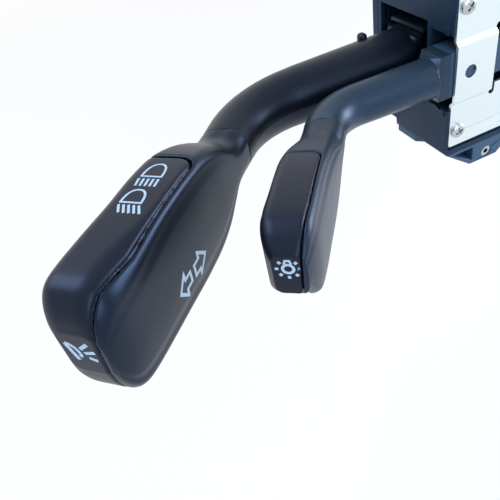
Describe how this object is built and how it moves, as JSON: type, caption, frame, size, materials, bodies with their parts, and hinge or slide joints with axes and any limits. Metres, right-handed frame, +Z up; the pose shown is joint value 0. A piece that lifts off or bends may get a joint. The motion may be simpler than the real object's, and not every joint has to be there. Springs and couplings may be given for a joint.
{
  "type": "combination stalk switch",
  "caption": "Steering-column stalk switch block: an indicator stalk with an end horn push and a shorter light stalk in front, both cranked towards the driver.",
  "frame": {"origin": "centre of the two column screws, on the rear face of the front plate", "axes": "+X away from the stalks, to the right in the driver's view; +Y away from the driver along the steering column; +Z up along the line of the two column screws"},
  "size_m": [0.2121, 0.1075, 0.0802],
  "materials": {
    "housing": "fine-textured black glass-filled nylon",
    "gloss_black": "satin black moulding with a fine grain",
    "zinc": "clear-passivated zinc plate",
    "acetal": "satin grey acetal",
    "steel": "ground steel",
    "spring": "bright spring wire",
    "brass": "stamped brass"
  },
  "bodies": {
    "housing": {"switch_housing": "housing", "front_plate": "zinc", "plate_screws": "zinc", "rear_cover": "housing", "cover_screws": "zinc", "contact_carrier": "housing", "fixed_contacts": "brass", "terminal_block": "housing", "terminal_blades": "brass", "terminal_rivet": "zinc", "light_detent_track": "acetal", "light_fixed_contacts": "brass", "indicator_detent_track": "acetal", "cancel_pin": "steel", "cancel_spring": "spring"},
    "light_lever": {"light_hub": "acetal", "light_stalk": "gloss_black", "light_paddle_front": "gloss_black", "light_paddle_back": "gloss_black", "light_symbol_strip": "gloss_black", "light_detent_plunger": "steel", "light_detent_spring": "spring", "light_moving_contact": "brass"},
    "indicator_rotor": {"indicator_rotor": "acetal", "indicator_detent_plunger": "steel", "indicator_detent_spring": "spring", "indicator_slider": "brass", "lever_pin": "steel", "flash_spring": "spring"},
    "indicator_lever": {"indicator_stalk": "gloss_black", "indicator_paddle_front": "gloss_black", "indicator_paddle_back": "gloss_black", "horn_spring": "spring"},
    "horn_push": {"horn_push": "gloss_black"},
    "cancel_finger": {"cancel_finger": "acetal"}
  },
  "joints": [
    {"name": "light_switch", "type": "hinge", "parent": "housing", "child": "light_lever", "pos_m": [-0.0498, 0.005, 0], "axis": [0, 1, 0], "range_deg": [-12, 12]},
    {"name": "indicator_turn", "type": "hinge", "parent": "housing", "child": "indicator_rotor", "pos_m": [-0.034, 0.0254, 0], "axis": [0, 1, 0], "range_deg": [-12, 12]},
    {"name": "flash_pull", "type": "hinge", "parent": "indicator_rotor", "child": "indicator_lever", "pos_m": [-0.0465, 0.0254, 0], "axis": [0, 0, 1], "range_deg": [0, 3], "stiffness_Nm_per_rad": 4, "springref_deg": -4.58, "deforming": ["flash_spring"]},
    {"name": "horn_press", "type": "slide", "parent": "indicator_lever", "child": "horn_push", "axis": [0.6782, 0.7349, 0], "range_m": [0, 0.0008], "stiffness_N_per_m": 3000, "springref_m": -0.001, "deforming": ["horn_spring"]},
    {"name": "cancel_swing", "type": "hinge", "parent": "housing", "child": "cancel_finger", "pos_m": [-0.019, 0.02, 0], "axis": [0, 1, 0], "range_deg": [-12, 12], "stiffness_Nm_per_rad": 0.05}
  ]
}
